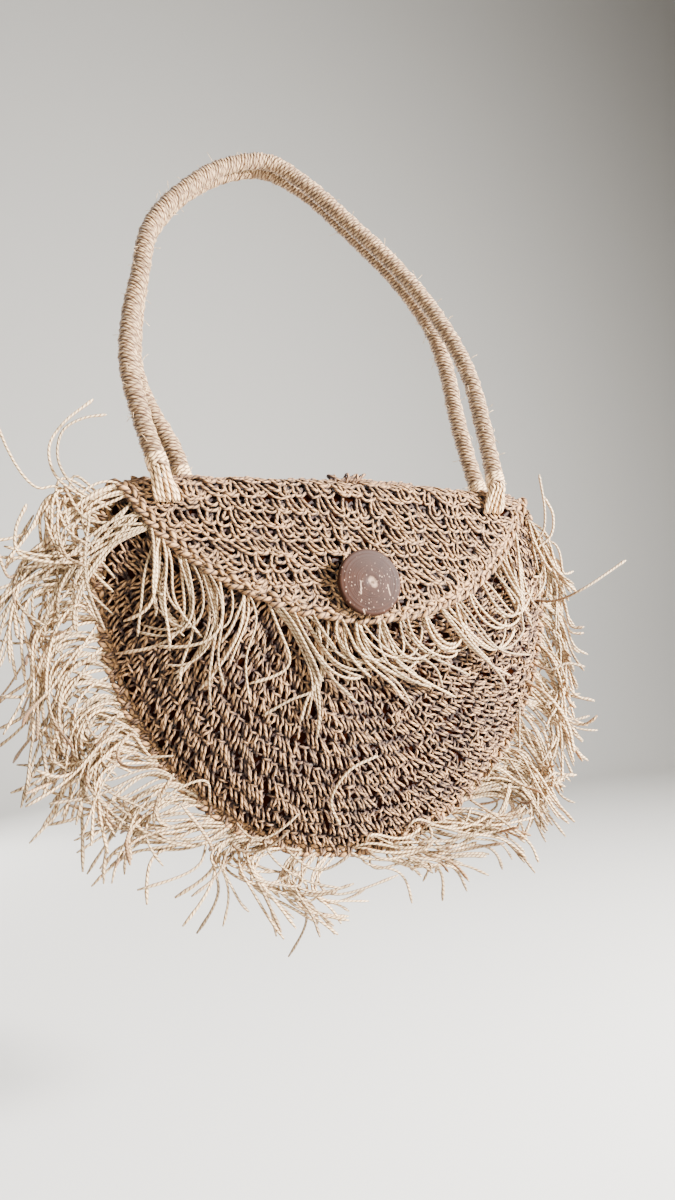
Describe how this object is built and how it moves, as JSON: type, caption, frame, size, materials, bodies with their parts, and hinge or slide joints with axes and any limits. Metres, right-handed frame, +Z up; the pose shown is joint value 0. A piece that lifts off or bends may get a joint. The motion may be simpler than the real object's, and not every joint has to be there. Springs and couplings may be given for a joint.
{
  "type": "seagrass bag",
  "caption": "Round crocheted seagrass handbag with a fold-over flap, fringed seam and flap edge, coconut-shell button and wound rope handles.",
  "frame": {"origin": "the point that the bag hangs from, under the crest of the two handles and midway between them", "axes": "+Z up, +X to the right as seen from the front, and the front with the flap and the button faces -Y"},
  "size_m": [0.4044, 0.153, 0.5699],
  "materials": {
    "crochet": "crocheted twisted seagrass cord, matte",
    "fringe_cord": "loose twisted seagrass cord, satin",
    "handle_cord": "wound twisted seagrass cord, matte",
    "coconut_shell": "polished coconut shell, satin"
  },
  "bodies": {
    "root": {"front_panel": "crochet", "back_panel": "crochet", "seam_fringe": "fringe_cord", "flap_fringe": "fringe_cord", "front_handle": "handle_cord", "back_handle": "handle_cord", "front_left_lashing": "handle_cord", "front_right_lashing": "handle_cord", "back_left_lashing": "handle_cord", "back_right_lashing": "handle_cord", "button": "coconut_shell", "button_shank": "crochet"}
  },
  "joints": []
}
